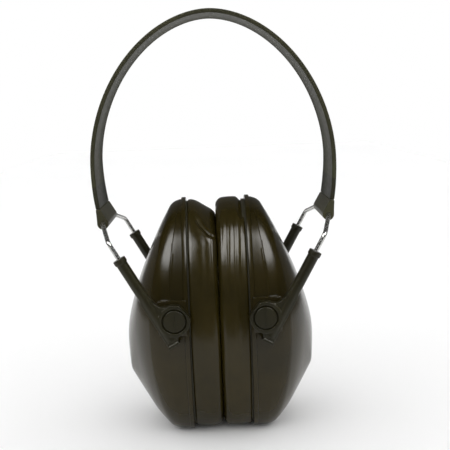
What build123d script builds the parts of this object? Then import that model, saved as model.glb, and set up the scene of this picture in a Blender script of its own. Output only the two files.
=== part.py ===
"""Over-the-head earmuffs: sprung headband, wire yokes, sliding arms, ear cups and cushions.

Millimetres. +Z is up, +X is the wearer's side seen on the right from the front, -Y is the front.
The origin is on the ground, under the middle of the object, which stands on its two cups.
Every right-hand piece is made once and mirrored in the YZ plane for the left.
"""
from build123d import *
from math import copysign, cos, hypot, radians, sin
import os

# headband: an arch slightly more pointed than an ellipse, and flatter sides down to the band ends
BAND_HALF_SPAN = 55.9
BAND_TOP_Z = 193.7
BAND_WAIST_Z = 124.9
BAND_ARCH_POWER = 1.88
BAND_ARCH_STEPS = 24
BAND_SIDE_RADIUS = 80.0
BAND_THICKNESS = 1.9
BAND_WIDTH = 33.0
FLARE_START_Z = 126.0
FLARE_WIDTH = 36.6
COVER_END_Z = 106.0
STRIP_THICKNESS = 0.6
STRIP_WIDTH = 24.0
STRIP_END_Z = 102.6
FLEX_ANGLE = 50.0
CUT_REACH = 90.0

# band ends and wire yokes
YOKE_X = 51.4
YOKE_Z = 99.3
END_RADIUS = 2.6
END_WIDTH = 38.0
WIRE_RADIUS = 1.0
WIRE_BORE_RADIUS = 1.06
WIRE_EXIT_BEND = 4.0
WIRE_LEG_BEND = 2.6
WIRE_EXIT_LENGTH = 0.8

# arms: sleeves on the wire legs, leaning from upright, in the planes y = +-ARM_Y
ARM_Y = 40.5
ARM_RADIUS = 2.5
ARM_LENGTH = 45.6
ARM_TOP = (42.8, 86.5)
ARM_LEAN = 29.5
WIRE_SHOWN = 8.5
WIRE_HELD = 30.0
SLEEVE_DEPTH = 38.0
COLLAR_LENGTH = 2.2
COLLAR_RADIUS = 2.9
WEB_START = 14.0
WEB_START_HALF = 1.2
WEB_FULL = 22.5
WEB_HEIGHT = 1.8
WEB_TOP_CURVE = 5.5
WEB_LOW_CURVE = 2.4
LIP_LENGTH = 1.3
LIP_PROUD = 0.5

# pivots
PIVOT_X = 20.0
PIVOT_Z = 58.3
BOSS_RADIUS = 7.0
BOSS_FLAT = 6.1
BOSS_FLAT_ANGLE = 139.0
BOSS_NIB = ((-5.2, 3.2), (-7.4, 0.1), (-6.6, -2.2))
CAP_RADIUS = 4.8
CAP_HEIGHT = 1.0
CAP_RECESS_RADIUS = 5.5
CAP_RECESS_DEPTH = 0.9
STUD_RADIUS = 2.5
EYE_RADIUS = 2.56
STUD_INNER_Y = 34.2
CAP_SEAT_GAP = 0.05
CAP_ROUND = 0.35
CAP_RIB_WIDTH = 0.45
CAP_RIB_HEIGHT = 0.25

# cups: sections across X, each (x, top z, bottom z, half width)
CUP_HEIGHT = 108.0
FLANGE_START = 13.8
FLANGE_END = 16.6
CUP_HALF_WIDTH = 37.6
CUP_MIDDLE_Z = 48.0
CUP_FLAT_HALF = 14.0
CUP_WALL = 2.4
CUP_SECTIONS = [
    (16.6, 107.1, 0.0, 36.7),
    (18.6, 106.8, 0.0, 36.5),
    (21.2, 104.7, 0.0, 36.2),
    (24.5, 99.4, 1.6, 35.5),
    (28.4, 91.2, 6.0, 34.2),
    (31.4, 85.0, 10.4, 32.4),
    (35.2, 76.6, 16.0, 27.6),
    (38.6, 67.5, 21.0, 22.0),
    (41.6, 58.2, 25.4, 14.8),
    (43.4, 50.6, 28.2, 8.6),
    (44.0, 46.4, 31.5, 4.8),
]
PAD_X = (14.6, 27.4)
PAD_Z = (50.2, 66.4)

# ear side: plate, ring, cushion and liner
EAR_HALF_WIDTH = 20.0
EAR_HALF_HEIGHT = 31.0
EAR_Z = 53.0
PLATE_THICKNESS = 2.0
SPIGOT_LENGTH = 1.5
SPIGOT_WALL = 2.2
RING_THICKNESS = 1.6
SKIN_THICKNESS = 0.8
CUSHION_GAP = 0.4
CUSHION_INSET = 1.0
CUSHION_ROUND = 4.4
EAR_ROUND = 3.6
LINER_START = 22.5
FIT = 0.15


def pair(shape, name):
    """Write a right-hand shape and its mirror image."""
    write(shape, f"{name}_right")
    write(mirror(shape, about=Plane.YZ), f"{name}_left")


def write(shape, node):
    export_step(shape, f"parts/{node}.step")


def slab(x_range, y_range, z_range):
    """A box given by its ranges."""
    size = [high - low for low, high in (x_range, y_range, z_range)]
    middle = [(high + low) / 2 for low, high in (x_range, y_range, z_range)]
    return Pos(*middle) * Box(*size)


def across(sketch, y_low, y_high):
    """Extrude a sketch drawn as (x, z) along Y, from y_low to y_high."""
    plane = Plane(origin=(0, y_high, 0), x_dir=(1, 0, 0), z_dir=(0, -1, 0))
    return extrude(plane * sketch, amount=y_high - y_low)


def outward(sketch, x_low, x_high):
    """Extrude a sketch drawn as (y, z) along X, from x_low to x_high."""
    plane = Plane(origin=(x_low, 0, 0), x_dir=(0, 1, 0), z_dir=(1, 0, 0))
    return extrude(plane * sketch, amount=x_high - x_low)


# ---- headband ----

def arch_point(turn, depth=0.0):
    """A point (x, height above the waist) on the arch; a power of 2 would be an ellipse."""
    bend = 2 / BAND_ARCH_POWER
    across_share = copysign(abs(cos(turn)) ** bend, cos(turn))
    return (
        (BAND_HALF_SPAN - depth) * across_share,
        (BAND_TOP_Z - BAND_WAIST_Z - depth) * abs(sin(turn)) ** bend,
    )


def band_region(depth):
    """The area, as (x, z), inside the band's outer line offset inwards by depth."""
    half_span = BAND_HALF_SPAN - depth
    turns = [radians(180 * step / BAND_ARCH_STEPS) for step in range(1, BAND_ARCH_STEPS)]
    points = [(half_span, 0), *[arch_point(turn, depth) for turn in turns], (-half_span, 0)]
    arch = Spline(*points, tangents=[(0, 1), (0, -1)])
    dome = make_face([arch, Line(points[-1], points[0])])
    sides = Ellipse(half_span, BAND_SIDE_RADIUS - depth)
    lower = Pos(0, -BAND_SIDE_RADIUS) * Rectangle(4 * half_span, 2 * BAND_SIDE_RADIUS)
    return Pos(0, BAND_WAIST_Z) * (dome + (sides & lower))


def band_layer(outer_depth, inner_depth, width, end_z):
    """One layer of the band, ending level at end_z on both sides."""
    layer = across(band_region(outer_depth) - band_region(inner_depth), -width / 2, width / 2)
    reach = 2 * BAND_TOP_Z
    return layer & slab((-reach, reach), (-width, width), (end_z, reach))


def flex_point():
    """The line, on the band's outer face, about which the right-hand side flexes."""
    x, rise = arch_point(radians(FLEX_ANGLE))
    return x, BAND_WAIST_Z + rise


def crown_wedge():
    """The wedge that holds the crown segment, cut square to the band at the flex lines."""
    x, z = flex_point()
    power = BAND_ARCH_POWER
    # outward normal of the arch at the flex point
    normal = (
        x ** (power - 1) / BAND_HALF_SPAN**power,
        (z - BAND_WAIST_Z) ** (power - 1) / (BAND_TOP_Z - BAND_WAIST_Z) ** power,
    )
    scale = CUT_REACH / hypot(*normal)
    low = (0, z - x * normal[1] / normal[0])
    high = (x + scale * normal[0], z + scale * normal[1])
    outline = Polyline(low, high, (-high[0], high[1]), close=True)
    return across(make_face(outline), -BAND_WIDTH, BAND_WIDTH)


def flared_width():
    """The cover's outline seen from the side: even, and wider towards the band's ends."""
    half = [
        (BAND_WIDTH / 2, 2 * BAND_TOP_Z),
        (BAND_WIDTH / 2, FLARE_START_Z),
        (FLARE_WIDTH / 2, COVER_END_Z),
    ]
    outline = Polyline(*half, *[(-y, z) for y, z in half[::-1]], close=True)
    return outward(make_face(outline), -2 * BAND_HALF_SPAN, 2 * BAND_HALF_SPAN)


def headband():
    """The cover and the steel strip inside it, each as a crown and two sides."""
    margin = (BAND_THICKNESS - STRIP_THICKNESS) / 2
    strip = band_layer(margin, BAND_THICKNESS - margin, STRIP_WIDTH, STRIP_END_Z)
    cover = band_layer(0, BAND_THICKNESS, FLARE_WIDTH, COVER_END_Z) & flared_width()
    cover -= strip
    wedge = crown_wedge()
    right = slab((0, 2 * BAND_HALF_SPAN), (-BAND_WIDTH, BAND_WIDTH), (0, 2 * BAND_TOP_Z))
    for layer, name in ((cover, "headband_cover"), (strip, "headband_spring")):
        write(layer & wedge, f"{name}_crown")
        pair((layer - wedge) & right, name)
    return strip


def band_end(strip):
    """The teardrop moulding on the band's end, with the bore for the wire."""
    middle_x = BAND_HALF_SPAN * (1 - ((BAND_WAIST_Z - COVER_END_Z) / BAND_SIDE_RADIUS) ** 2) ** 0.5
    knuckle = Pos(YOKE_X, YOKE_Z) * Circle(END_RADIUS)
    neck = Pos(middle_x - BAND_THICKNESS / 2, COVER_END_Z) * Circle(BAND_THICKNESS / 2)
    outline = make_hull((knuckle + neck).edges())
    body = across(outline, -END_WIDTH / 2, END_WIDTH / 2)
    body = body & slab((0, 2 * YOKE_X), (-END_WIDTH, END_WIDTH), (0, COVER_END_Z))
    bore = Pos(YOKE_X, 0, YOKE_Z) * Rot(90, 0, 0) * Cylinder(WIRE_BORE_RADIUS, 2 * END_WIDTH)
    return body - bore - strip


# ---- wire yoke ----

def along_arm(distance, sideways=0.0):
    """A point (x, z), distance below the arm's mouth and sideways towards the middle."""
    lean = radians(ARM_LEAN)
    return (
        ARM_TOP[0] - distance * sin(lean) - sideways * cos(lean),
        ARM_TOP[1] - distance * cos(lean) + sideways * sin(lean),
    )


def wire_yoke():
    """One wire: a front leg, the run through the band end, and a rear leg."""
    bend_x, bend_z = along_arm(-WIRE_SHOWN)
    tip_x, tip_z = along_arm(WIRE_HELD)
    exit_y = END_WIDTH / 2 + WIRE_EXIT_LENGTH
    half = [(tip_x, ARM_Y, tip_z), (bend_x, ARM_Y, bend_z), (YOKE_X, exit_y, YOKE_Z)]
    route = [(x, -y, z) for x, y, z in half] + half[::-1]
    radii = [WIRE_LEG_BEND, WIRE_EXIT_BEND, WIRE_EXIT_BEND, WIRE_LEG_BEND]
    path = FilletPolyline(*route, radius=radii)
    start = Plane(origin=path @ 0, z_dir=path % 0)
    return sweep(start * Circle(WIRE_RADIUS), path=path)


# ---- arms and pivots ----

def pivot_on_arm():
    """The pivot's distance below the arm's mouth, and sideways from the arm's axis."""
    lean = radians(ARM_LEAN)
    fall_x = ARM_TOP[0] - PIVOT_X
    fall_z = ARM_TOP[1] - PIVOT_Z
    return fall_x * sin(lean) + fall_z * cos(lean), fall_x * cos(lean) - fall_z * sin(lean)


def arm_strip(*stations):
    """A part of the arm's outline, through stations of (distance, half width)."""
    inner = [along_arm(distance, half) for distance, half in stations]
    outer = [along_arm(distance, -half) for distance, half in stations[::-1]]
    return make_face(Polyline(*inner, *outer, close=True))


def web_outline():
    """The flat web, as (x, z): the tail and the boss, joined by concave curves."""
    distance, sideways = pivot_on_arm()
    reach = (BOSS_RADIUS**2 - (sideways - ARM_RADIUS) ** 2) ** 0.5
    tail = arm_strip((WEB_START, WEB_START_HALF), (WEB_FULL, ARM_RADIUS), (ARM_LENGTH, ARM_RADIUS))
    outline = tail + Pos(PIVOT_X, PIVOT_Z) * Circle(BOSS_RADIUS)
    for crossing, radius in ((distance - reach, WEB_TOP_CURVE), (distance + reach, WEB_LOW_CURVE)):
        corner = outline.vertices().sort_by_distance(along_arm(crossing, ARM_RADIUS))[0]
        outline = fillet(corner, radius)
    return outline


def boss_cut():
    """The chord taken off the boss, on the side of the cup's rim."""
    turn = Pos(PIVOT_X, PIVOT_Z) * Rot(0, 0, BOSS_FLAT_ANGLE)
    return turn * Pos(BOSS_FLAT + BOSS_RADIUS, 0) * Rectangle(2 * BOSS_RADIUS, 4 * BOSS_RADIUS)


def arm_body():
    """The arm around its middle plane: round sleeve with a collar, web, boss, nib and lip."""
    start = Plane(origin=(ARM_TOP[0], 0, ARM_TOP[1]), z_dir=arm_direction())
    distance = pivot_on_arm()[0]
    sleeve = extrude(start * Circle(ARM_RADIUS), amount=distance + BOSS_RADIUS)
    collar = extrude(start * Circle(COLLAR_RADIUS), amount=COLLAR_LENGTH)
    nib = Pos(PIVOT_X, PIVOT_Z) * make_face(Polyline(*BOSS_NIB, close=True))
    web = across(web_outline() - boss_cut() + nib, -WEB_HEIGHT, ARM_RADIUS)
    boss = across(Pos(PIVOT_X, PIVOT_Z) * Circle(BOSS_RADIUS) - boss_cut(), -ARM_RADIUS, ARM_RADIUS)
    lip_start = ARM_LENGTH - LIP_LENGTH
    lip_outline = arm_strip((lip_start, ARM_RADIUS), (ARM_LENGTH, ARM_RADIUS + LIP_PROUD))
    lip = across(lip_outline, -WEB_HEIGHT - LIP_PROUD, ARM_RADIUS)
    return sleeve + collar + web + boss + lip


def arm_direction():
    """The way down the arm's axis."""
    lean = radians(ARM_LEAN)
    return (-sin(lean), 0, -cos(lean))


def arm_front():
    """The front right arm: sleeve bore from its mouth, pivot eye and recess for the cap."""
    mouth = Plane(origin=(ARM_TOP[0], 0, ARM_TOP[1]), z_dir=arm_direction())
    bore = extrude(mouth * Circle(WIRE_BORE_RADIUS), amount=SLEEVE_DEPTH)
    eye = Pos(PIVOT_X, 0, PIVOT_Z) * Rot(90, 0, 0) * Cylinder(EYE_RADIUS, 4 * ARM_RADIUS)
    recess_circle = Pos(PIVOT_X, PIVOT_Z) * Circle(CAP_RECESS_RADIUS)
    recess = across(recess_circle, -2 * ARM_RADIUS, CAP_RECESS_DEPTH - ARM_RADIUS)
    return Pos(0, -ARM_Y, 0) * (arm_body() - bore - eye - recess)


def pivot_stud():
    """The front right stud: a shaft held in the cup and a ribbed cap in the arm's recess."""
    seat_y = CAP_RECESS_DEPTH - ARM_Y - ARM_RADIUS - CAP_SEAT_GAP
    face_y = seat_y - CAP_HEIGHT
    shaft = across(Pos(PIVOT_X, PIVOT_Z) * Circle(STUD_RADIUS), seat_y, -STUD_INNER_Y)
    cap = across(Pos(PIVOT_X, PIVOT_Z) * Circle(CAP_RADIUS), face_y, seat_y)
    cap = fillet(cap.faces().sort_by(Axis.Y)[0].edges(), CAP_ROUND)
    rib_half = CAP_RIB_WIDTH / 2
    rib_length = CAP_RADIUS - CAP_ROUND
    rib = slab(
        (PIVOT_X - rib_half, PIVOT_X + rib_half),
        (face_y - CAP_RIB_HEIGHT, seat_y),
        (PIVOT_Z - rib_length, PIVOT_Z + rib_length),
    )
    return shaft + cap + rib


# ---- ear cups ----

def cup_outline(top_z, bottom_z, half_width):
    """A D on its side as (y, z): an elliptical top, rounded lower corners and a flat foot."""
    flat = CUP_FLAT_HALF * half_width / CUP_HALF_WIDTH
    middle = min(CUP_MIDDLE_Z, (top_z + bottom_z) / 2)
    corner = (half_width - flat, middle - bottom_z)
    crown = EllipticalCenterArc((0, middle), half_width, top_z - middle, 0, arc_size=180)
    left = EllipticalCenterArc((-flat, middle), *corner, 180, arc_size=90)
    foot = Line((-flat, bottom_z), (flat, bottom_z))
    right = EllipticalCenterArc((flat, middle), *corner, 270, arc_size=90)
    return make_face([crown, left, foot, right])


def cup_section(x, top_z, bottom_z, half_width):
    """The same D, standing in the plane at x."""
    plane = Plane(origin=(x, 0, 0), x_dir=(0, 1, 0), z_dir=(1, 0, 0))
    return plane * cup_outline(top_z, bottom_z, half_width)


def cup_body(inset, x_inset):
    """The domed body behind the flange, with every section pulled in by inset."""
    sections = [
        cup_section(x - x_inset, top - inset, bottom + inset, half - inset)
        for x, top, bottom, half in CUP_SECTIONS
        if half > 2 * inset
    ]
    return loft(sections, ruled=True)


def cup_shell(cavity, stud):
    """The shell: flange, domed body and the two pads that carry the studs, hollowed out."""
    flange = outward(cup_outline(CUP_HEIGHT, 0, CUP_HALF_WIDTH), FLANGE_START, FLANGE_END)
    solid = cup_body(0, 0) + flange
    pad = slab(PAD_X, (-CUP_HALF_WIDTH, -STUD_INNER_Y + CUP_WALL), PAD_Z)
    solid += pad + mirror(pad, about=Plane.XZ)
    return solid - cavity - stud - mirror(stud, about=Plane.XZ)


def cup_cavity():
    """The space inside the shell, from the flange's face to the dome."""
    mouth = cup_outline(CUP_HEIGHT - CUP_WALL, CUP_WALL, CUP_HALF_WIDTH - CUP_WALL - 1.0)
    return outward(mouth, FLANGE_START, FLANGE_END + 0.5) + cup_body(CUP_WALL + 0.6, 1.4)


def ear_ellipse(grow):
    """The ear opening as (y, z), grown by grow all round."""
    return Pos(0, EAR_Z) * Ellipse(EAR_HALF_WIDTH + grow, EAR_HALF_HEIGHT + grow)


def cup_plate():
    """The ring that closes the shell, with the spigot for the cushion."""
    inset = CUP_WALL + FIT
    disc = cup_outline(CUP_HEIGHT - inset, inset, CUP_HALF_WIDTH - inset - 1.0)
    plate = outward(disc - ear_ellipse(0), FLANGE_START, FLANGE_START + PLATE_THICKNESS)
    spigot = ear_ellipse(SPIGOT_WALL) - ear_ellipse(0)
    return plate + outward(spigot, FLANGE_START - SPIGOT_LENGTH, FLANGE_START)


def cushion_envelope(inset, start):
    """A rounded ring of the cushion's outline, pulled in by inset, from start to the flange."""
    outline = cup_outline(
        CUP_HEIGHT - CUSHION_INSET - inset,
        CUSHION_INSET + inset,
        CUP_HALF_WIDTH - CUSHION_INSET - inset,
    )
    block = outward(outline, start, FLANGE_START)
    block = fillet(block.faces().sort_by(Axis.X)[0].edges(), CUSHION_ROUND - inset)
    block -= outward(ear_ellipse(inset), start - 1, FLANGE_START + 1)
    face = block.faces().filter_by(Axis.X).sort_by(Axis.X)[0]
    rim = face.inner_wires()[0].edges()
    return fillet(rim, EAR_ROUND - inset)


def cushion():
    """Skin, foam and backing ring of one cushion."""
    ring_start = FLANGE_START - RING_THICKNESS
    inner = cushion_envelope(SKIN_THICKNESS, CUSHION_GAP + SKIN_THICKNESS)
    spigot_zone = outward(ear_ellipse(SPIGOT_WALL + FIT), ring_start, FLANGE_START + 1)
    back = slab((ring_start, 2 * FLANGE_START), (-CUP_HEIGHT, CUP_HEIGHT), (0, CUP_HEIGHT))
    foam = inner - back
    ring = (inner & back) - spigot_zone
    skin = cushion_envelope(0, CUSHION_GAP) - inner - spigot_zone
    return skin, foam, ring


def foam_liner(cavity):
    """The sound absorber, which fills the cavity from LINER_START to the dome."""
    reach = 2 * CUP_HEIGHT
    inner = slab((LINER_START, reach), (-reach, reach), (0, reach))
    return cavity & inner


def main():
    os.makedirs("parts", exist_ok=True)
    strip = headband()
    pair(band_end(strip), "band_end")
    pair(wire_yoke(), "wire_yoke")
    arm = arm_front()
    stud = pivot_stud()
    cavity = cup_cavity()
    skin, foam, ring = cushion()
    for place, about in (("front", None), ("rear", Plane.XZ)):
        pair(mirror(arm, about=about) if about else arm, f"arm_{place}")
        pair(mirror(stud, about=about) if about else stud, f"pivot_stud_{place}")
    pair(cup_shell(cavity, stud), "cup_shell")
    pair(cup_plate(), "cup_plate")
    pair(foam_liner(cavity), "foam_liner")
    pair(skin, "cushion_skin")
    pair(foam, "cushion_foam")
    pair(ring, "cushion_ring")


main()
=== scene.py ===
"""Looks for the folding earmuffs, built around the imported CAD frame.

Everything is in metres in the CAD frame: +Z up, -Y the front, +X the right-hand side seen from
the front. Outlines are worked out in millimetres and go through MM when they become meshes.
"""

import math

import bpy
import numpy as np
from mathutils import Matrix, Vector, noise


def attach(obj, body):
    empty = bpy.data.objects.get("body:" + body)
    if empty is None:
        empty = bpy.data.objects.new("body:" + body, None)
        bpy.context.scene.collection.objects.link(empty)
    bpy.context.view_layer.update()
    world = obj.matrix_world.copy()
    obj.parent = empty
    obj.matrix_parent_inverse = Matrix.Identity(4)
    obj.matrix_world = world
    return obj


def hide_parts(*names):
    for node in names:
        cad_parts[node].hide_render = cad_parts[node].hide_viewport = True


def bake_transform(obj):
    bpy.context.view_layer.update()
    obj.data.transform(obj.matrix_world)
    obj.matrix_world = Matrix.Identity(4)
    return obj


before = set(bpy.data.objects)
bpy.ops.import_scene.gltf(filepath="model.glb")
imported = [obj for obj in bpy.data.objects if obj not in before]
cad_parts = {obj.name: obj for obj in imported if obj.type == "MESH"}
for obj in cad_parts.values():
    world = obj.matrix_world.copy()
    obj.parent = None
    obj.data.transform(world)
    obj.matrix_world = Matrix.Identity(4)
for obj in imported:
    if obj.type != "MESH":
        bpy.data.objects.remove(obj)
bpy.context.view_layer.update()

MM = 0.001
SIDES = {"left": -1, "right": 1}

# cup outline, in mm: a D on its side with an elliptical top and a flat foot
CUP_HEIGHT = 108.0
CUP_HALF_WIDTH = 37.6
CUP_MIDDLE_Z = 48.0
CUP_FLAT_HALF = 14.0
FLANGE_START = 13.8
AROUND = 192

# the ear opening in plate and cushion, in mm
EAR_Z = 53.0
EAR_HALF_WIDTH = 20.0
EAR_HALF_HEIGHT = 31.0

# headband, in mm: an arch slightly more pointed than an ellipse, and flatter sides
BAND_HALF_SPAN = 55.9
BAND_TOP_Z = 193.7
BAND_WAIST_Z = 124.9
BAND_ARCH_POWER = 1.88
BAND_SIDE_RADIUS = 80.0
BAND_THICKNESS = 1.9
BAND_WIDTH = 33.0
FLARE_START_Z = 130.0
FLARE_LENGTH = 24.0
FLARE_WIDTH = 36.6
COVER_END_Z = 106.0


# ---------------------------------------------------------------- materials

PLASTIC_IOR = 1.34


def srgb(red, green, blue):
    """A shader colour from the three 0 to 255 values seen on screen."""
    def linear(value):
        value = value / 255
        return value / 12.92 if value <= 0.04045 else ((value + 0.055) / 1.055) ** 2.4
    return (linear(red), linear(green), linear(blue), 1.0)


class Shader:
    """A material's node tree with short helpers for procedural textures."""

    def __init__(self, name):
        self.material = bpy.data.materials.new(name)
        self.material.use_nodes = True
        self.nodes = self.material.node_tree.nodes
        self.links = self.material.node_tree.links
        self.surface = self.nodes["Principled BSDF"]
        self.coordinates = self.nodes.new("ShaderNodeTexCoord").outputs["Object"]

    def node(self, kind, **values):
        made = self.nodes.new(kind)
        for key, value in values.items():
            if hasattr(made, key):
                setattr(made, key, value)
            else:
                made.inputs[key.replace("_", " ")].default_value = value
        return made

    def link(self, output, target):
        self.links.new(output, target)

    def stretched(self, scale):
        """Object coordinates scaled by a vector, so that a texture runs along one axis."""
        mapping = self.node("ShaderNodeMapping")
        mapping.inputs["Scale"].default_value = scale
        self.link(self.coordinates, mapping.inputs["Vector"])
        return mapping.outputs["Vector"]

    def noise(self, scale, detail=3.0, roughness=0.5, stretch=(1, 1, 1)):
        made = self.node("ShaderNodeTexNoise", Scale=scale, Detail=detail, Roughness=roughness)
        self.link(self.stretched(stretch), made.inputs["Vector"])
        return made.outputs["Fac"]

    def voronoi(self, scale, feature="F1"):
        made = self.node("ShaderNodeTexVoronoi", Scale=scale)
        made.feature = feature
        self.link(self.coordinates, made.inputs["Vector"])
        return made.outputs["Distance"]

    def ramp(self, factor, *stops):
        """A colour ramp through (position, colour) stops."""
        made = self.node("ShaderNodeValToRGB")
        elements = made.color_ramp.elements
        while len(elements) < len(stops):
            elements.new(0.5)
        for element, (position, colour) in zip(elements, stops):
            element.position = position
            element.color = colour
        self.link(factor, made.inputs["Fac"])
        return made.outputs["Color"]

    def between(self, factor, low, high, start=0.3, end=0.7):
        """Maps a texture's range from start to end to low and high."""
        made = self.node("ShaderNodeMapRange")
        made.inputs["From Min"].default_value = start
        made.inputs["From Max"].default_value = end
        made.inputs["To Min"].default_value = low
        made.inputs["To Max"].default_value = high
        self.link(factor, made.inputs["Value"])
        return made.outputs["Result"]

    def bump(self, *layers):
        """Stacks (height, distance in metres, strength) layers and drives the normal."""
        normal = None
        for height, distance, strength in layers:
            made = self.node("ShaderNodeBump")
            made.inputs["Distance"].default_value = distance
            made.inputs["Strength"].default_value = strength
            self.link(height, made.inputs["Height"])
            if normal is not None:
                self.link(normal, made.inputs["Normal"])
            normal = made.outputs["Normal"]
        self.link(normal, self.surface.inputs["Normal"])

    def set(self, **values):
        for key, value in values.items():
            self.surface.inputs[key.replace("_", " ")].default_value = value


def moulded_plastic(name, dark, light, roughness, grain=0.35, wave=0.15):
    """Injection-moulded olive plastic: faint cloudiness, fine grain and handling marks."""
    shader = Shader(name)
    cloud = shader.noise(45, detail=4)
    shader.link(shader.ramp(cloud, (0.35, dark), (0.7, light)), shader.surface.inputs["Base Color"])
    marks = shader.noise(900, detail=5, roughness=0.7)
    rough = shader.between(marks, roughness - 0.04, roughness + 0.06)
    shader.link(rough, shader.surface.inputs["Roughness"])
    shader.bump(
        (shader.noise(60, detail=2), 0.0004, wave),
        (shader.noise(2600, detail=2), 0.00003, grain),
    )
    shader.set(IOR=PLASTIC_IOR)
    return shader.material


def vinyl(name):
    """Thin glossy vinyl: fine leather-like grain, faint creases and a slightly mottled olive."""
    shader = Shader(name)
    cloud = shader.noise(38, detail=5, roughness=0.6)
    colour = shader.ramp(cloud, (0.3, srgb(34, 29, 8)), (0.7, srgb(45, 38, 12)))
    shader.link(colour, shader.surface.inputs["Base Color"])
    marks = shader.noise(420, detail=5, roughness=0.65)
    shader.link(shader.between(marks, 0.17, 0.27), shader.surface.inputs["Roughness"])
    grain = shader.voronoi(1500, feature="DISTANCE_TO_EDGE")
    crinkle = shader.noise(150, detail=4, roughness=0.6, stretch=(1.0, 1.0, 0.35))
    shader.bump((crinkle, 0.0005, 0.25), (grain, 0.00003, 0.25))
    shader.set(IOR=PLASTIC_IOR)
    return shader.material


# where the coarse patch at a band's end fades out, in metres from the end
PATCH_FADE = (0.0098, 0.0103)


def band_plastic(name):
    """Satin band moulding: fine ribs across the band and a darker, coarser patch near its ends."""
    shader = Shader(name)
    from_end = shader.node("ShaderNodeSeparateXYZ")
    shader.link(shader.node("ShaderNodeUVMap").outputs["UV"], from_end.inputs["Vector"])
    plain = shader.between(from_end.outputs["X"], 0.0, 1.0, start=PATCH_FADE[0], end=PATCH_FADE[1])
    spread = shader.node("ShaderNodeMapping")
    spread.inputs["Scale"].default_value = (560.0, 20.0, 1.0)
    shader.link(shader.node("ShaderNodeUVMap").outputs["UV"], spread.inputs["Vector"])
    rib = shader.node("ShaderNodeTexWave", Scale=1.0, Distortion=0.6, Detail=1.0)
    rib.bands_direction = "X"
    shader.link(spread.outputs["Vector"], rib.inputs["Vector"])
    shade = shader.node("ShaderNodeMath", operation="MULTIPLY")
    shader.link(shader.noise(70, detail=5, roughness=0.6), shade.inputs[0])
    shader.link(shader.between(plain, 0.4, 1.0, start=0, end=1), shade.inputs[1])
    colour = shader.ramp(
        shade.outputs["Value"],
        (0.12, srgb(25, 24, 10)), (0.3, srgb(39, 38, 20)), (0.7, srgb(52, 51, 30)),
    )
    shader.link(colour, shader.surface.inputs["Base Color"])
    marks = shader.noise(700, detail=4)
    shader.link(shader.between(marks, 0.5, 0.64), shader.surface.inputs["Roughness"])
    coarse = shader.node("ShaderNodeMath", operation="MULTIPLY")
    shader.link(shader.noise(1100, detail=3), coarse.inputs[0])
    shader.link(shader.between(plain, 1.0, 0.25, start=0, end=1), coarse.inputs[1])
    shader.bump((rib.outputs["Fac"], 0.00006, 0.5), (coarse.outputs["Value"], 0.00015, 0.6))
    shader.set(IOR=PLASTIC_IOR)
    return shader.material


def steel(name, roughness, streak=(1, 1, 1)):
    """Drawn steel: fine lines, small scratches and slightly uneven brightness."""
    shader = Shader(name)
    cloud = shader.noise(300, detail=4, stretch=streak)
    colour = shader.ramp(cloud, (0.3, srgb(176, 175, 172)), (0.7, srgb(205, 204, 201)))
    shader.link(colour, shader.surface.inputs["Base Color"])
    marks = shader.noise(1500, detail=4, stretch=streak)
    rough = shader.between(marks, roughness - 0.05, roughness + 0.08)
    shader.link(rough, shader.surface.inputs["Roughness"])
    shader.bump((marks, 0.00002, 0.3))
    shader.set(Metallic=1.0)
    return shader.material


def open_foam(name, dark, light):
    """Open-cell foam: round pores of mixed size over a dull, uneven colour."""
    shader = Shader(name)
    cells = shader.voronoi(1100)
    shader.link(shader.ramp(cells, (0.15, dark), (0.6, light)), shader.surface.inputs["Base Color"])
    shader.link(shader.between(cells, 0.85, 0.95), shader.surface.inputs["Roughness"])
    shader.bump((shader.noise(160, detail=4), 0.0008, 0.5), (cells, 0.0006, 0.8))
    return shader.material


def make_materials():
    return {
        "shell": moulded_plastic(
            "glossy_olive_shell", srgb(33, 28, 8), srgb(43, 36, 12), 0.18, grain=0.10, wave=0.10
        ),
        "arm": moulded_plastic("satin_olive_arm", srgb(25, 23, 7), srgb(34, 31, 11), 0.36, 0.3),
        "band": band_plastic("ribbed_olive_band"),
        "end": moulded_plastic("dark_band_end", srgb(50, 48, 31), srgb(62, 60, 41), 0.42),
        "vinyl": vinyl("olive_vinyl"),
        "plate": moulded_plastic("olive_plate", srgb(34, 32, 20), srgb(44, 42, 28), 0.5),
        "wire": steel("drawn_wire", 0.24),
        "strip": steel("rolled_strip", 0.35, (1.0, 0.15, 1.0)),
        "liner": open_foam("charcoal_foam", srgb(18, 18, 18), srgb(52, 52, 50)),
        "cushion_foam": open_foam("cream_foam", srgb(150, 140, 112), srgb(196, 186, 156)),
    }


# ---------------------------------------------------------------- mesh helpers

def mesh_piece(name, points, faces, material):
    """A smooth-shaded mesh object from points in mm."""
    mesh = bpy.data.meshes.new(name)
    mesh.from_pydata([tuple(float(c) * MM for c in p) for p in points], [], faces)
    mesh.validate()
    mesh.materials.append(material)
    mesh.shade_smooth()
    piece = bpy.data.objects.new(name, mesh)
    bpy.context.scene.collection.objects.link(piece)
    return piece


def wrap_faces(rows, columns, wrap_rows=False):
    """Quads over a grid of points that closes on itself along its columns."""
    faces = []
    for i in range(rows if wrap_rows else rows - 1):
        below = ((i + 1) % rows) * columns
        here = i * columns
        for j in range(columns):
            k = (j + 1) % columns
            faces.append((here + j, here + k, below + k, below + j))
    return faces


def turned(faces, side):
    """Faces for one side: mirrored points need the opposite winding."""
    return faces if side == "right" else [tuple(reversed(f)) for f in faces]


def apply_modifiers(piece):
    """Bakes the piece's modifiers into its mesh."""
    bpy.context.view_layer.update()
    graph = bpy.context.evaluated_depsgraph_get()
    mesh = bpy.data.meshes.new_from_object(piece.evaluated_get(graph))
    piece.modifiers.clear()
    piece.data = mesh


def subdivided(piece, levels):
    modifier = piece.modifiers.new("subdivision", "SUBSURF")
    modifier.levels = levels
    modifier.render_levels = levels
    apply_modifiers(piece)


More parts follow.
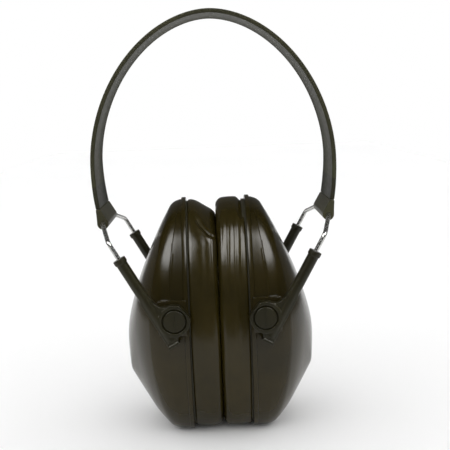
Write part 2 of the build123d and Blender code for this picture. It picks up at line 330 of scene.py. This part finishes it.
def points_of(piece):
    """The piece's vertices as an array in mm."""
    flat = np.empty(len(piece.data.vertices) * 3)
    piece.data.vertices.foreach_get("co", flat)
    return flat.reshape(-1, 3) / MM


def move_points(piece, points):
    piece.data.vertices.foreach_set("co", (points * MM).ravel())
    piece.data.update()


def smoothstep(value, low, high):
    share = np.clip((value - low) / (high - low), 0.0, 1.0)
    return share * share * (3 - 2 * share)


def hump(value, centre, width):
    """A smooth bump of height 1 at centre."""
    return np.exp(-(((value - centre) / width) ** 2))


# ---------------------------------------------------------------- cup outline

def round_the_cup():
    """Shares for points round the D: of its half width, of its flat foot, and of its rise."""
    crown = np.linspace(0, math.pi, AROUND // 2, endpoint=False)
    corner = np.linspace(0, math.pi / 2, 3 * AROUND // 16, endpoint=False)
    foot = np.linspace(-1, 1, AROUND // 8, endpoint=False)
    left, right = math.pi + corner, 1.5 * math.pi + corner
    on_half = np.concatenate([np.cos(crown), np.cos(left), 0 * foot, np.cos(right)])
    on_flat = np.concatenate([0 * crown, -1 - np.cos(left), foot, 1 - np.cos(right)])
    rise = np.concatenate([np.sin(crown), np.sin(left), 0 * foot - 1, np.sin(right)])
    return on_half, on_flat, rise


ON_HALF, ON_FLAT, RISE = round_the_cup()


def cup_ring(x, half, top, bottom, middle=CUP_MIDDLE_Z):
    """A ring of points round the cup. x is given at the top, the sides and the bottom."""
    flat = CUP_FLAT_HALF * half / CUP_HALF_WIDTH
    y = ON_HALF * half + ON_FLAT * flat
    z = middle + RISE * np.where(RISE >= 0, top - middle, middle - bottom)
    x_top, x_side, x_bottom = x
    x_end = np.where(RISE >= 0, x_top, x_bottom)
    return np.stack([x_side + (x_end - x_side) * RISE**2, y, z], axis=1)


def inset_ring(x, inset):
    """The flange's own outline, pulled in by inset, in the plane at x."""
    return cup_ring((x, x, x), CUP_HALF_WIDTH - inset, CUP_HEIGHT - inset, inset)


def ear_ring(x, grow):
    """A ring on the ear opening's ellipse, point for point beside the cup's outline."""
    outline = inset_ring(x, 0)
    turn = np.arctan2((outline[:, 2] - EAR_Z) / EAR_HALF_HEIGHT, outline[:, 1] / EAR_HALF_WIDTH)
    y = (EAR_HALF_WIDTH + grow) * np.cos(turn)
    z = EAR_Z + (EAR_HALF_HEIGHT + grow) * np.sin(turn)
    return np.stack([np.full(AROUND, float(x)), y, z], axis=1)


# ---------------------------------------------------------------- ear cup shells

# lines of the dome from the flange's root to its outer end, in mm: the crease beside the rim,
# the shoulder, and the lower corner. Each is given at the top, the sides and the bottom.
DOME_TOP = [
    (16.0, 107.1), (16.9, 107.0), (19.2, 106.2), (21.2, 104.7), (26.0, 96.2),
    (31.4, 85.0), (36.6, 72.9), (41.0, 60.0), (43.3, 51.0), (44.0, 46.0),
]
DOME_SIDE = [
    (16.0, 37.2), (23.0, 36.6), (27.6, 35.4), (31.4, 33.4), (34.6, 29.2),
    (37.4, 24.6), (40.0, 19.0), (42.3, 12.6), (43.6, 7.0), (44.0, 3.5),
]
DOME_BOTTOM = [
    (16.0, 0.1), (20.0, 0.2), (22.4, 0.8), (24.5, 1.9), (30.0, 7.9),
    (34.6, 14.6), (38.9, 21.0), (43.1, 27.3), (43.7, 33.0), (44.0, 38.0),
]
CREASE, SHOULDER, CORNER = 1, 3, 7
DOME_STEPS = [4, 4, 4, 5, 5, 5, 5, 4, 3]
BEAD = 0.22
BEAD_REACH = 0.3
BEAD_FADE_Z = (44.0, 58.0)
SHELL_WALL = 2.4
SHELL_SHARP = 32
FLANGE_PROFILE = [
    (16.0, 0.55), (15.9, 0.2), (15.65, 0.0), (14.15, 0.0), (13.9, 0.12), (13.8, 0.4), (13.8, 3.3),
]


def dome_track(nodes, sharp):
    """Points (x, size) along one line of the dome, smooth except at the sharp nodes."""
    nodes = np.array(nodes)
    last = len(nodes) - 1
    track = []
    for i, steps in enumerate(DOME_STEPS):
        chord = nodes[i + 1] - nodes[i]
        leave = chord if i == 0 or i in sharp else (nodes[i + 1] - nodes[i - 1]) / 2
        arrive = chord if i + 1 == last or i + 1 in sharp else (nodes[i + 2] - nodes[i]) / 2
        for t in np.linspace(0, 1, steps, endpoint=False):
            track.append(
                (2 * t**3 - 3 * t**2 + 1) * nodes[i] + (t**3 - 2 * t**2 + t) * leave
                + (3 * t**2 - 2 * t**3) * nodes[i + 1] + (t**3 - t**2) * arrive
            )
    track.append(nodes[last])
    return np.array(track)


def softened(track):
    """The same track with its corners slightly rounded."""
    inner = 0.2 * track[:-2] + 0.6 * track[1:-1] + 0.2 * track[2:]
    return np.concatenate([track[:1], inner, track[-1:]])


def dome_rings(wall):
    """Rings of the dome from the flange to its outer end, wall inside the outer face."""
    top = softened(dome_track(DOME_TOP, (CREASE, SHOULDER)))
    side = softened(dome_track(DOME_SIDE, (CREASE, SHOULDER)))
    bottom = softened(dome_track(DOME_BOTTOM, (CREASE, CORNER)))
    rings = []
    for (x_top, z_top), (x_side, half), (x_bottom, z_bottom) in zip(top, side, bottom):
        middle = min(CUP_MIDDLE_Z, (z_top + z_bottom) / 2)
        x = [max(FLANGE_START, value - wall) for value in (x_top, x_side, x_bottom)]
        pull = min(wall, 0.6 * half, 0.45 * (z_top - z_bottom))
        rings.append(cup_ring(x, half - pull, z_top - pull, z_bottom + pull, middle))
    if wall == 0:
        add_bead(rings, DOME_STEPS[0])
    return rings


def add_bead(rings, at):
    """Raises the crease's upper half as a fine line, with a narrow ring on either side of it."""
    before = rings[at] + BEAD_REACH * (rings[at - 1] - rings[at])
    after = rings[at] + BEAD_REACH * (rings[at + 1] - rings[at])
    away = rings[at][:, 1:] - [0.0, CUP_MIDDLE_Z]
    away /= np.linalg.norm(away, axis=1, keepdims=True)
    height = BEAD * smoothstep(rings[at][:, 2], *BEAD_FADE_Z)
    rings[at][:, 1:] += height[:, None] * away
    rings[at:at + 1] = [before, rings[at], after]


def cup_shell(side, materials):
    """Flange, creased dome and pads as one closed skin with the real wall."""
    outer = dome_rings(0)[::-1]
    flange = [inset_ring(x, inset) for x, inset in FLANGE_PROFILE]
    rings = outer + flange + dome_rings(SHELL_WALL)
    points = np.concatenate(rings)
    points[:, 0] *= SIDES[side]
    count = len(rings)
    faces = wrap_faces(count, AROUND)
    faces.append(tuple(range(AROUND)))
    faces.append(tuple(reversed(range((count - 1) * AROUND, count * AROUND))))
    faces = [tuple(reversed(f)) for f in turned(faces, side)]
    shell = mesh_piece(f"shell_{side}", points, faces, materials["shell"])
    for place in (-1, 1):
        add_pad(shell, side, place, materials)
    keep_sharp(shell, SHELL_SHARP)
    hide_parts(f"cup_shell_{side}")
    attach(shell, f"cup_{side}")


def keep_sharp(piece, angle):
    """Smooth shading that stops at edges sharper than angle, in degrees."""
    piece.data.set_sharp_from_angle(angle=math.radians(angle))


PAD_X = (14.7, 27.4)
PAD_Y = (33.0, 37.6)
PAD_Z = (50.2, 66.4)
PAD_ROUND = 0.45


def add_pad(shell, side, place, materials):
    """Joins the flat pad behind one pivot to the shell."""
    low = np.array([PAD_X[0], PAD_Y[0], PAD_Z[0]])
    high = np.array([PAD_X[1], PAD_Y[1], PAD_Z[1]])
    corners = [[(low, high)[(i >> k) & 1][k] for k in range(3)] for i in range(8)]
    points = np.array(corners) * [SIDES[side], place, 1]
    faces = [(0, 4, 6, 2), (1, 3, 7, 5), (0, 1, 5, 4), (2, 6, 7, 3), (0, 2, 3, 1), (4, 5, 7, 6)]
    if SIDES[side] * place < 0:
        faces = [tuple(reversed(f)) for f in faces]
    pad = mesh_piece(f"pad_{side}_{place}", points, faces, materials["shell"])
    bevel = pad.modifiers.new("bevel", "BEVEL")
    bevel.width = PAD_ROUND * MM
    bevel.segments = 3
    apply_modifiers(pad)
    union = shell.modifiers.new("union", "BOOLEAN")
    union.operation = "UNION"
    union.solver = "EXACT"
    union.object = pad
    apply_modifiers(shell)
    bpy.data.objects.remove(pad)


# ---------------------------------------------------------------- cushions

CUSHION_FACE = 0.4
CUSHION_BASE = 13.6
CUSHION_INNER_BASE = 12.0
CUSHION_INSET = 1.3
CUSHION_CROWN = 0.8
CUSHION_MIDDLE = 7.0
CUSHION_HALF_DEPTH = 6.6
CUSHION_EAR_GROWTH = 0.8
CORNER_ROUND = 3.0
INNER_ROUND = 4.0

# how the cloth may move, in frames and mm
CLOTH_FRAMES = 20
CUSHION_CAP = 0.9

# the plane where the two cushions meet, and how soon its effect fades away from it, in mm
FACE_LIMIT = 0.05
FACE_PRESS = 0.45
FACE_SOFTNESS = 0.0004
FACE_FADE = (0.5, 5.0)
WAVE_FADE = (0.2, 2.5)

# the skin counts as outside near an ellipse and beyond it, and is pushed away from the cup's
# middle, less so upward and downward
OUTSIDE_HALF_WIDTH = 36.0
OUTSIDE_HALF_HEIGHT = 56.0
OUTSIDE_MIDDLE_Z = 50.0
OUTSIDE_FADE = (0.80, 0.93)
UPRIGHT_SHARE = 0.62

# the skin's slight unevenness, in mm, and the scale of its noise along x, y and z
UNEVEN = 0.22
UNEVEN_SCALE = np.array([0.10, 0.07, 0.05])


def cushion_section():
    """One turn round the cushion's section: (x, kind, value) from base, over the face, to base.

    Kind outer gives an inset from the outline, inner a growth of the ear opening, and face and
    base give the share of the way from the outer side to the inner one.
    """
    quarter = np.radians([15, 40, 65, 90])
    section = [(x, "outer", 0.0) for x in np.linspace(CUSHION_BASE, CUSHION_FACE + CORNER_ROUND, 6)]
    section += [
        (CUSHION_FACE + CORNER_ROUND * (1 - math.sin(a)), "outer", CORNER_ROUND * (1 - math.cos(a)))
        for a in quarter
    ]
    section += [(CUSHION_FACE, "face", share) for share in np.linspace(0, 1, 8)[1:-1]]
    section += [
        (CUSHION_FACE + INNER_ROUND * (1 - math.sin(a)), "inner", INNER_ROUND * (1 - math.cos(a)))
        for a in quarter[::-1]
    ]
    section += [
        (x, "inner", 0.0) for x in np.linspace(CUSHION_FACE + INNER_ROUND, CUSHION_INNER_BASE, 5)
    ]
    section += [
        (CUSHION_INNER_BASE + share * (CUSHION_BASE - CUSHION_INNER_BASE), "base", 1 - share)
        for share in np.linspace(0, 1, 7)[1:-1]
    ]
    return section


def cushion_rings():
    """The cushion's starting form, slightly slimmer than the finished one."""
    rings = []
    for x, kind, value in cushion_section():
        if kind == "outer":
            bulge = 1 - min(abs(x - CUSHION_MIDDLE) / CUSHION_HALF_DEPTH, 1.0) ** 2
            crown = CUSHION_CROWN * bulge
            ring = inset_ring(x, CUSHION_INSET + value - crown)
        elif kind == "inner":
            ring = ear_ring(x, CUSHION_EAR_GROWTH + value)
        else:
            round_out, round_in = (CORNER_ROUND, INNER_ROUND) if kind == "face" else (0, 0)
            outer = inset_ring(x, CUSHION_INSET + round_out)
            ring = outer + value * (ear_ring(x, CUSHION_EAR_GROWTH + round_in) - outer)
        rings.append(ring[::2])
    return rings


def inflate(piece, pinned):
    """Blows the piece up as cloth, holding the pinned points, and caps how far a point moves."""
    start = points_of(piece)
    group = piece.vertex_groups.new(name="pinned")
    group.add([int(i) for i in pinned], 1.0, "REPLACE")
    cloth = piece.modifiers.new("cloth", "CLOTH")
    cloth.settings.quality = 6
    cloth.settings.mass = 0.2
    cloth.settings.tension_stiffness = 12
    cloth.settings.compression_stiffness = 8
    cloth.settings.bending_stiffness = 0.4
    cloth.settings.use_pressure = True
    cloth.settings.uniform_pressure_force = 4.0
    cloth.settings.vertex_group_mass = "pinned"
    cloth.settings.effector_weights.gravity = 0
    cloth.point_cache.frame_end = CLOTH_FRAMES
    scene = bpy.context.scene
    for number in range(1, CLOTH_FRAMES + 1):
        scene.frame_set(number)
    apply_modifiers(piece)
    scene.frame_set(1)
    moved = points_of(piece) - start
    reach = np.linalg.norm(moved, axis=1, keepdims=True)
    share = np.minimum(1.0, CUSHION_CAP / np.maximum(reach, 1e-9))
    move_points(piece, start + moved * share)


def outward_shares(points):
    """Unit directions (y, z) away from the cup's middle, and how much a point is on the outside."""
    away = np.stack([points[:, 1], (points[:, 2] - CUP_MIDDLE_Z) * UPRIGHT_SHARE], axis=1)
    away /= np.maximum(np.linalg.norm(away, axis=1, keepdims=True), 1e-9)
    rise = (points[:, 2] - OUTSIDE_MIDDLE_Z) / OUTSIDE_HALF_HEIGHT
    ratio = np.hypot(points[:, 1] / OUTSIDE_HALF_WIDTH, rise)
    return away, smoothstep(ratio, *OUTSIDE_FADE)


def press_flat(points):
    """Keeps the cushion behind the plane where the two cushions press on each other."""
    depth = np.maximum(points[:, 0] - FACE_PRESS, 0)
    pressed = FACE_LIMIT + np.sqrt(depth**2 + FACE_SOFTNESS)
    share = smoothstep(points[:, 0], *FACE_FADE)
    x = pressed + share * (points[:, 0] - pressed)
    return np.stack([x, points[:, 1], points[:, 2]], axis=1)


def shared_wave(y, z):
    """The slight wave of the surface on which the two cushions press into each other."""
    return 0.12 * np.sin(y / 1.4 + 0.8 * np.sin(z / 9.0)) * np.cos(z / 17.0 + 0.4)


def left_folds(x, z):
    """The left cushion's skin: a diagonal tuck near the top and a soft ridge by its face."""
    line = (z - 96.3) - 1.05 * (x - 5.0)
    length = smoothstep(x, 0.5, 2.5) * (1 - smoothstep(x, 7.5, 10.5)) * smoothstep(z, 88, 92)
    tuck = -0.85 * hump(line, 0, 1.2) + 0.45 * hump(line, -2.2, 1.5)
    ridge = 0.35 * hump(x, 2.3, 0.9) * smoothstep(z, 52, 70) * (1 - smoothstep(z, 92, 97))
    hollow = -0.30 * hump(x, 5.0, 1.8) * smoothstep(z, 55, 75) * (1 - smoothstep(z, 92, 98))
    return tuck * length + ridge + hollow


def right_folds(x, z):
    """The right cushion's skin: soft pleats that run down from its top."""
    drift = 0.35 * np.sin(z / 7.0)
    pleats = [
        (2.0, 0.55, 0.30, 60), (4.4, 0.65, 0.34, 56), (7.8, 1.10, 0.55, 34), (10.8, 0.6, 0.28, 58),
    ]
    folds = np.zeros(len(z))
    for centre, width, height, low in pleats:
        fade = smoothstep(z, low, low + 26) * (1 - smoothstep(z, 95, 101))
        folds += height * fade * hump(x, centre + drift, width)
    return folds


def cushion_creases(points, side):
    """Shapes the inflated cushion: base tuck, slope or notch at the top, folds and unevenness."""
    away, outside = outward_shares(points)
    x, _, z = points.T
    push = -0.2 * smoothstep(x, 12.6, 13.3)
    if side == "left":
        push += left_folds(x, z)
        fall = -5.2 * smoothstep(13.0 - x, 0.0, 12.5) * smoothstep(z, 88, 104)
    else:
        push += right_folds(x, z)
        fall = -1.7 * hump(x, 11.9, 1.3) * smoothstep(z, 96, 104)
    places = points * UNEVEN_SCALE + [0.0, 0.0, SIDES[side] * 7]
    push += UNEVEN * np.array([noise.noise(Vector(place)) for place in places])
    shaped = points.copy()
    shaped[:, 1:] += away * (push * outside)[:, None]
    shaped[:, 2] += fall * outside
    return shaped


def cushion(side, materials):
    """A foam-filled vinyl ring, blown up as cloth, pressed flat at its face and creased."""
    rings = cushion_rings()
    count, around = len(rings), len(rings[0])
    points = np.concatenate(rings)
    faces = [tuple(reversed(f)) for f in wrap_faces(count, around, wrap_rows=True)]
    piece = mesh_piece(f"cushion_{side}", points, faces, materials["vinyl"])
    pinned = np.flatnonzero(points[:, 0] > CUSHION_INNER_BASE - 0.01)
    inflate(piece, pinned)
    subdivided(piece, 2)
    shaped = press_flat(cushion_creases(points_of(piece), side))
    near_face = 1 - smoothstep(shaped[:, 0], *WAVE_FADE)
    shaped[:, 0] *= SIDES[side]
    shaped[:, 0] += near_face * shared_wave(shaped[:, 1], shaped[:, 2])
    move_points(piece, shaped)
    if side == "left":
        piece.data.flip_normals()
    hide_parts(f"cushion_skin_{side}", f"cushion_foam_{side}")
    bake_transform(piece)


# ---------------------------------------------------------------- foam liners

LINER_START = 22.9
LINER_RIM = LINER_START + 1.6
LINER_WALL = LINER_START + 2.0
LINER_GAP = 3.4
LINER_CROWN = 2.2
LINER_UNEVEN = 0.45


def foam_liner(side, materials):
    """The sound absorber: a foam block pushed into the dome, crowned and uneven on its face."""
    walls = [ring for ring in dome_rings(LINER_GAP) if ring[:, 0].min() > LINER_WALL]
    rim = walls[0].copy()
    rim[:, 0] = LINER_RIM
    middle = np.array([LINER_START, 0.0, EAR_Z])
    face = []
    for share in (0.15, 0.35, 0.55, 0.72, 0.86, 0.95):
        ring = middle + share * (rim - middle)
        ring[:, 0] = LINER_RIM - LINER_CROWN * (1 - share**3)
        face.append(ring)
    rings = face + [rim] + walls
    count = len(rings)
    points = np.concatenate(rings)
    bump = np.array([noise.noise(Vector(p) * 0.12) + 0.4 * noise.noise(Vector(p) * 0.4) for p in points])
    points[:, 0] += LINER_UNEVEN * bump
    points[:, 0] *= SIDES[side]
    faces = wrap_faces(count, AROUND)
    faces.append(tuple(reversed(range(AROUND))))
    faces.append(tuple(range((count - 1) * AROUND, count * AROUND)))
    piece = mesh_piece(f"liner_{side}", points, turned(faces, side), materials["liner"])
    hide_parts(f"foam_liner_{side}")
    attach(piece, f"cup_{side}")


# ---------------------------------------------------------------- headband

BAND_STEPS = 96
BAND_SHARP = 50
EDGE_ROUND = 0.35
BORDER = 1.7
BORDER_DEPTH = 0.18
BORDER_SLOPE = 0.35
STRIP_THICKNESS = 0.6
STRIP_WIDTH = 24.0
STRIP_END_Z = 102.6
BEND_END = (57.0, 112.0)


def band_line(end_z):
    """Stations down one side of the band's outer line: (x, z, outward x, outward z)."""
    drop = math.asin((BAND_WAIST_Z - end_z) / BAND_SIDE_RADIUS)
    stations = []
    for turn in np.linspace(math.pi / 2, -drop, BAND_STEPS):
        power = BAND_ARCH_POWER if turn > 0 else 2.0
        rise = BAND_TOP_Z - BAND_WAIST_Z if turn > 0 else BAND_SIDE_RADIUS
        across = max(math.cos(turn), 0.0) ** (2 / power)
        height = math.copysign(abs(math.sin(turn)) ** (2 / power), turn)
        x = BAND_HALF_SPAN * across
        z = BAND_WAIST_Z + rise * height
        lean = abs(height) ** (power - 1) * math.copysign(1, turn) / rise
        away = Vector((across ** (power - 1) / BAND_HALF_SPAN, lean)).normalized()
        stations.append((x, z, away.x, away.y))
    return stations


def cover_section(width):
    """Round the cover's section: (y, depth below the outer face), with raised inner borders."""
    half, deep = width / 2, BAND_THICKNESS
    side = [
        (half - EDGE_ROUND, 0.0), (half - 0.3 * EDGE_ROUND, 0.3 * EDGE_ROUND), (half, EDGE_ROUND),
        (half, deep - EDGE_ROUND), (half - 0.3 * EDGE_ROUND, deep - 0.3 * EDGE_ROUND),
        (half - EDGE_ROUND, deep),
        (half - BORDER, deep), (half - BORDER - BORDER_SLOPE, deep - BORDER_DEPTH),
    ]
    return side + [(-y, depth) for y, depth in side[::-1]]


def strip_section(width):
    """Round the steel strip's section, which lies in the middle of the cover."""
    low = (BAND_THICKNESS - STRIP_THICKNESS) / 2
    high = low + STRIP_THICKNESS
    return [(width / 2, low), (width / 2, high), (-width / 2, high), (-width / 2, low)]


def cover_width(z):
    """The cover's width, which flares towards its ends."""
    return BAND_WIDTH + (FLARE_WIDTH - BAND_WIDTH) * float(smoothstep(FLARE_START_Z - z, 0, FLARE_LENGTH))


def band_half(name, side, section, width_at, end_z, material):
    """Half of a band layer, swept from the crown's middle down one side."""
    stations = band_line(end_z)
    line = np.array(stations)[:, :2]
    steps = np.linalg.norm(np.diff(line, axis=0), axis=1)
    from_end = np.append(np.cumsum(steps[::-1])[::-1], 0.0)
    points, spots = [], []
    for (x, z, away_x, away_z), run in zip(stations, from_end):
        for y, depth in section(width_at(z)):
            points.append((SIDES[side] * (x - depth * away_x), y, z - depth * away_z))
            spots.append((run * MM, y * MM))
    around = len(section(BAND_WIDTH))
    faces = wrap_faces(len(stations), around)
    faces.append(tuple(reversed(range(around))))
    faces.append(tuple(range((len(stations) - 1) * around, len(stations) * around)))
    faces = faces if side == "left" else [tuple(reversed(f)) for f in faces]
    piece = mesh_piece(name, points, faces, material)
    layer = piece.data.uv_layers.new(name="along")
    for loop in piece.data.loops:
        layer.data[loop.index].uv = spots[loop.vertex_index]
    keep_sharp(piece, BAND_SHARP)
    start = (0, 0, BAND_TOP_Z * MM)
    end = (SIDES[side] * BEND_END[0] * MM, 0, BEND_END[1] * MM)
    return piece, start, end


def headband(side, materials):
    """The cover and the steel strip inside it."""
    cover, start, end = band_half(
        f"band_cover_{side}", side, cover_section, cover_width, COVER_END_Z, materials["band"]
    )
    strip, _, _ = band_half(
        f"band_strip_{side}", side, strip_section, lambda z: STRIP_WIDTH, STRIP_END_Z, materials["strip"]
    )
    stands_for = {cover: "headband_cover", strip: "headband_spring"}
    for piece, node in stands_for.items():
        nodes = [f"{node}_{side}"] + ([f"{node}_crown"] if side == "right" else [])
        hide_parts(*nodes)
        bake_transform(piece)


# ---------------------------------------------------------------- CAD nodes that stay shown

# voxel sizes in mm that round the moulded nodes' edges
ROUNDING = {"arm": 0.24, "band_end": 0.35}


def rounded_moulding(node, voxel):
    """Rounds a moulded CAD node's edges with modifiers; its own mesh stays as it is."""
    remesh = node.modifiers.new("remesh", "REMESH")
    remesh.mode = "VOXEL"
    remesh.voxel_size = voxel * MM
    remesh.use_smooth_shade = True
    smooth = node.modifiers.new("smooth", "SMOOTH")
    smooth.factor = 0.5
    smooth.iterations = 2


def finish_nodes(materials):
    """Materials for the CAD nodes, and rounded edges for the arms and the band ends."""
    kinds = {
        "band_end": "end", "wire_yoke": "wire", "arm": "arm", "pivot_stud": "arm",
        "cup_plate": "plate", "cushion_ring": "plate",
    }
    for name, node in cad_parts.items():
        kind = next((k for k in kinds if name.startswith(k)), None)
        if kind is None:
            continue
        node.data.materials.clear()
        node.data.materials.append(materials[kinds[kind]])
        if kind in ROUNDING:
            rounded_moulding(node, ROUNDING[kind])


# ---------------------------------------------------------------- camera, lights and floor

CAMERA_PLACE = (-0.66, -429.7, 153.7)
CAMERA_PITCH = -7.92
CAMERA_YAW = -0.66
CAMERA_ROLL = -2.31
CAMERA_LENS = 72.8


def make_camera():
    data = bpy.data.cameras.new("camera")
    data.sensor_width = 36
    data.lens = CAMERA_LENS
    data.clip_start = 0.01
    data.clip_end = 20
    camera = bpy.data.objects.new("camera", data)
    bpy.context.scene.collection.objects.link(camera)
    pitch, yaw, roll = (math.radians(a) for a in (CAMERA_PITCH, CAMERA_YAW, CAMERA_ROLL))
    ahead = Vector((-math.sin(yaw) * math.cos(pitch), math.cos(yaw) * math.cos(pitch), math.sin(pitch)))
    right = ahead.cross(Vector((0, 0, 1))).normalized()
    up = right.cross(ahead)
    across = math.cos(roll) * right + math.sin(roll) * up
    upward = math.cos(roll) * up - math.sin(roll) * right
    turn = Matrix((across, upward, -ahead)).transposed().to_4x4()
    camera.matrix_world = Matrix.Translation(Vector(CAMERA_PLACE) * MM) @ turn
    bpy.context.scene.camera = camera


# two softboxes in front, in degrees and metres, which also show as windows in the glossy world
SOFTBOX_TURN = 30
SOFTBOX_CLIMB = 48
SOFTBOX_AWAY = 2.2
SOFTBOX_SIZE = (0.50, 1.05)
SOFTBOX_RADIANCE = 1.0
LIT_MIDDLE = (0, 0, 0.08)

# brightness of the world: as mirrored windows, as mirrored room, for light, and for the camera.
# A window's edges are soft, from start to end in degrees on either side.
WINDOW = 12.0
WINDOW_TURN = ((16, 34), (62, 78))
WINDOW_CLIMB = ((30, 38), (56, 68))
ROOM_FRONT = 0.05
ROOM_BEHIND = 0.14
ROOM_FADE = (-0.2, 0.7)
SKY = 1.06
BACKDROP = 1.0

# the floor's edges, in metres
FLOOR_HALF = 0.5
FLOOR_FRONT = -0.24
FLOOR_BACK = 2.5


def area_light(name, place, target, size, radiance):
    """A white panel of the given size in metres that looks from place at target."""
    way = Vector(target) - Vector(place)
    data = bpy.data.lights.new(name, "AREA")
    data.shape = "RECTANGLE"
    data.size, data.size_y = size
    data.energy = radiance * math.pi * size[0] * size[1]
    light = bpy.data.objects.new(name, data)
    bpy.context.scene.collection.objects.link(light)
    light.location = place
    light.rotation_euler = way.to_track_quat("-Z", "Y").to_euler()


def make_lights():
    """A tall softbox on either side in front."""
    middle = Vector(LIT_MIDDLE)
    climb = math.radians(SOFTBOX_CLIMB)
    for side, sign in SIDES.items():
        turn = math.radians(sign * SOFTBOX_TURN)
        way = (math.sin(turn) * math.cos(climb), -math.cos(turn) * math.cos(climb), math.sin(climb))
        place = middle + SOFTBOX_AWAY * Vector(way)
        area_light(f"{side}_softbox", place, middle, SOFTBOX_SIZE, SOFTBOX_RADIANCE)


class Studio:
    """The world's node tree, with short helpers for working on the direction of a ray."""

    def __init__(self, name):
        self.world = bpy.data.worlds.new(name)
        self.world.use_nodes = True
        self.nodes = self.world.node_tree.nodes
        self.links = self.world.node_tree.links
        split = self.nodes.new("ShaderNodeSeparateXYZ")
        direction = self.nodes.new("ShaderNodeTexCoord").outputs["Generated"]
        self.links.new(direction, split.inputs["Vector"])
        self.x, self.y, self.z = split.outputs

    def math(self, operation, first, second=None):
        node = self.nodes.new("ShaderNodeMath")
        node.operation = operation
        for socket, value in zip(node.inputs, (first, second)):
            if isinstance(value, (int, float)):
                socket.default_value = value
            elif value is not None:
                self.links.new(value, socket)
        return node.outputs["Value"]

    def step(self, value, start, end, low=0.0, high=1.0):
        """A smooth step from low at start to high at end."""
        node = self.nodes.new("ShaderNodeMapRange")
        node.interpolation_type = "SMOOTHSTEP"
        node.inputs["From Min"].default_value = start
        node.inputs["From Max"].default_value = end
        node.inputs["To Min"].default_value = low
        node.inputs["To Max"].default_value = high
        self.links.new(value, node.inputs["Value"])
        return node.outputs["Result"]

    def window(self, value, opens, closes):
        """One between two soft edges, each given in degrees as (start, end)."""
        opening = self.step(value, math.radians(opens[0]), math.radians(opens[1]))
        closing = self.step(value, math.radians(closes[0]), math.radians(closes[1]), 1.0, 0.0)
        return self.math("MULTIPLY", opening, closing)

    def choose(self, factor, otherwise, chosen):
        """A mix of two strengths."""
        node = self.nodes.new("ShaderNodeMix")
        self.links.new(factor, node.inputs["Factor"])
        for name, value in (("A", otherwise), ("B", chosen)):
            if isinstance(value, float):
                node.inputs[name].default_value = value
            else:
                self.links.new(value, node.inputs[name])
        return node.outputs["Result"]


def make_world():
    """An even white studio. Glossy faces mirror a dim room, paler behind, with two softboxes."""
    studio = Studio("studio")
    room = studio.step(studio.y, *ROOM_FADE, ROOM_FRONT, ROOM_BEHIND)
    forward = studio.math("MULTIPLY", studio.y, -1.0)
    azimuth = studio.math("ABSOLUTE", studio.math("ARCTAN2", studio.x, forward))
    climb = studio.math("ARCSINE", studio.z)
    softbox = studio.math(
        "MULTIPLY", studio.window(azimuth, *WINDOW_TURN), studio.window(climb, *WINDOW_CLIMB)
    )
    reflected = studio.math("ADD", room, studio.math("MULTIPLY", softbox, WINDOW))
    rays = studio.nodes.new("ShaderNodeLightPath").outputs
    strength = studio.choose(rays["Is Glossy Ray"], SKY, reflected)
    strength = studio.choose(rays["Is Camera Ray"], strength, BACKDROP)
    background = studio.nodes["Background"]
    background.inputs["Color"].default_value = (1, 1, 1, 1)
    studio.links.new(strength, background.inputs["Strength"])
    bpy.context.scene.world = studio.world
    bpy.context.scene.view_settings.view_transform = "Standard"


def make_floor():
    """A pale table top that ends in front of the object, so the cups' tops mirror the dim room."""
    mesh = bpy.data.meshes.new("floor")
    corners = [
        (-FLOOR_HALF, FLOOR_FRONT, 0), (FLOOR_HALF, FLOOR_FRONT, 0),
        (FLOOR_HALF, FLOOR_BACK, 0), (-FLOOR_HALF, FLOOR_BACK, 0),
    ]
    mesh.from_pydata(corners, [], [(0, 1, 2, 3)])
    floor = bpy.data.objects.new("floor", mesh)
    bpy.context.scene.collection.objects.link(floor)
    shader = Shader("pale_floor")
    cloud = shader.noise(3, detail=2)
    pale = shader.ramp(cloud, (0.3, srgb(248, 248, 248)), (0.7, srgb(250, 250, 250)))
    shader.link(pale, shader.surface.inputs["Base Color"])
    shader.set(Roughness=0.8)
    mesh.materials.append(shader.material)


def main():
    materials = make_materials()
    make_camera()
    make_lights()
    make_world()
    make_floor()
    finish_nodes(materials)
    for side in SIDES:
        headband(side, materials)
        cup_shell(side, materials)
        foam_liner(side, materials)
        cushion(side, materials)


main()
